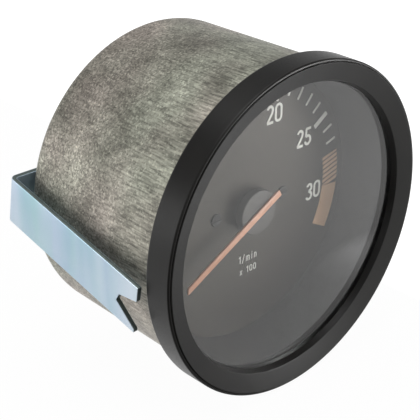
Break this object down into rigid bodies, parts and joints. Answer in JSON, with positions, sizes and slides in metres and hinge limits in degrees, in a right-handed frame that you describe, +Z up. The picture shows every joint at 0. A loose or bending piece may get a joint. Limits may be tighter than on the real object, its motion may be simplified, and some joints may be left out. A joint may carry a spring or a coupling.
{
  "type": "tachometer",
  "caption": "Round electric panel tachometer: black bezel and glass over a dial with an orange pointer, steel can behind, held by a U-shaped clamp strap on studs.",
  "frame": {"origin": "centre of the bezel's rear seat, in the plane where it meets the panel", "axes": "dial faces -Y, the can runs back along +Y, +Z is up on the dial, +X is to the right seen from the front"},
  "size_m": [0.0882, 0.0745, 0.085],
  "materials": {
    "can_steel": "galvanised, drawn, mottled satin",
    "bezel_enamel": "satin black stoved enamel on steel",
    "clear_glass": "flat clear glass",
    "black_rubber": "matt",
    "black_moulding": "matt moulded",
    "dial_paint": "matt dark grey screen print on aluminium",
    "white_print": "matt white print",
    "orange_print": "matt orange print",
    "screw_steel": "zinc-plated steel",
    "white_moulding": "white moulded",
    "brass": "turned",
    "copper_wire": "enamelled copper winding",
    "shield_steel": "drawn",
    "board_laminate": "green glass-fibre laminate",
    "chip_epoxy": "black epoxy",
    "capacitor_sleeve": "shrunk sleeve",
    "resistor_lacquer": "lacquered",
    "tinned_brass": "tinned",
    "stud_steel": "bright zinc-plated",
    "pointer_orange": "fluorescent orange paint on a moulded bar",
    "hub_moulding": "matt moulded cap",
    "magnet": "sintered",
    "bulb_glass": "clear glass",
    "strap_zinc": "bright zinc plate with a blue passivated tint",
    "nut_brass": "knurled brass"
  },
  "bodies": {
    "housing": {"case": "can_steel", "bezel": "bezel_enamel", "glass": "clear_glass", "glass_gasket": "black_rubber", "spacer_ring": "black_moulding", "dial": "dial_paint", "dial_scale": "white_print", "dial_warning_band": "orange_print", "dial_screws": "screw_steel", "light_box": "white_moulding", "movement_plate": "white_moulding", "stop_pins": "screw_steel", "spring_stud": "brass", "hairspring": "brass", "coil_former_front": "black_moulding", "coil_former_rear": "black_moulding", "inner_coil": "copper_wire", "outer_coil": "copper_wire", "steel_cup": "shield_steel", "front_bush": "brass", "rear_bush": "brass", "movement_posts": "white_moulding", "movement_screws": "screw_steel", "circuit_board": "board_laminate", "converter_chip": "chip_epoxy", "capacitors": "capacitor_sleeve", "resistors": "resistor_lacquer", "case_posts": "screw_steel", "board_screws": "screw_steel", "case_screws": "screw_steel", "terminal_block": "black_moulding", "terminal_blades": "tinned_brass", "studs": "stud_steel"},
    "moving_system": {"pointer": "pointer_orange", "pointer_hub": "hub_moulding", "counterweight": "brass", "spindle": "stud_steel", "rotor_magnet": "magnet", "spring_collet": "brass", "stop_arm": "screw_steel"},
    "lamp": {"lamp_holder": "black_moulding", "lamp_contacts": "tinned_brass", "lamp_bulb": "bulb_glass"},
    "strap": {"clamp_strap": "strap_zinc", "washers": "stud_steel"},
    "nut_left": {"knurled_nut_left": "nut_brass"},
    "nut_right": {"knurled_nut_right": "nut_brass"}
  },
  "joints": [
    {"name": "pointer_sweep", "type": "hinge", "parent": "housing", "child": "moving_system", "pos_m": [0, 0.01, 0], "axis": [0, 1, 0], "range_deg": [0, 236], "stiffness_Nm_per_rad": 0.000004, "springref_deg": -22.92, "deforming": ["hairspring"]},
    {"name": "strap_slide", "type": "slide", "parent": "housing", "child": "strap", "axis": [0, 1, 0], "range_m": [0, 0.01]},
    {"name": "nut_left_spin", "type": "hinge", "parent": "strap", "child": "nut_left", "pos_m": [-0.016, 0.054, 0.0027], "axis": [0, 1, 0], "range_deg": [0, 5142.86]},
    {"name": "nut_right_spin", "type": "hinge", "parent": "strap", "child": "nut_right", "pos_m": [0.016, 0.054, 0.0027], "axis": [0, 1, 0], "range_deg": [0, 5142.86]},
    {"name": "lamp_pull", "type": "slide", "parent": "housing", "child": "lamp", "axis": [0, 1, 0], "range_m": [0, 0.03]}
  ],
  "couplings": [
    {"joint": "nut_left_spin", "follows": "strap_slide", "rad_per_m": 8976},
    {"joint": "nut_right_spin", "follows": "strap_slide", "rad_per_m": 8976}
  ]
}
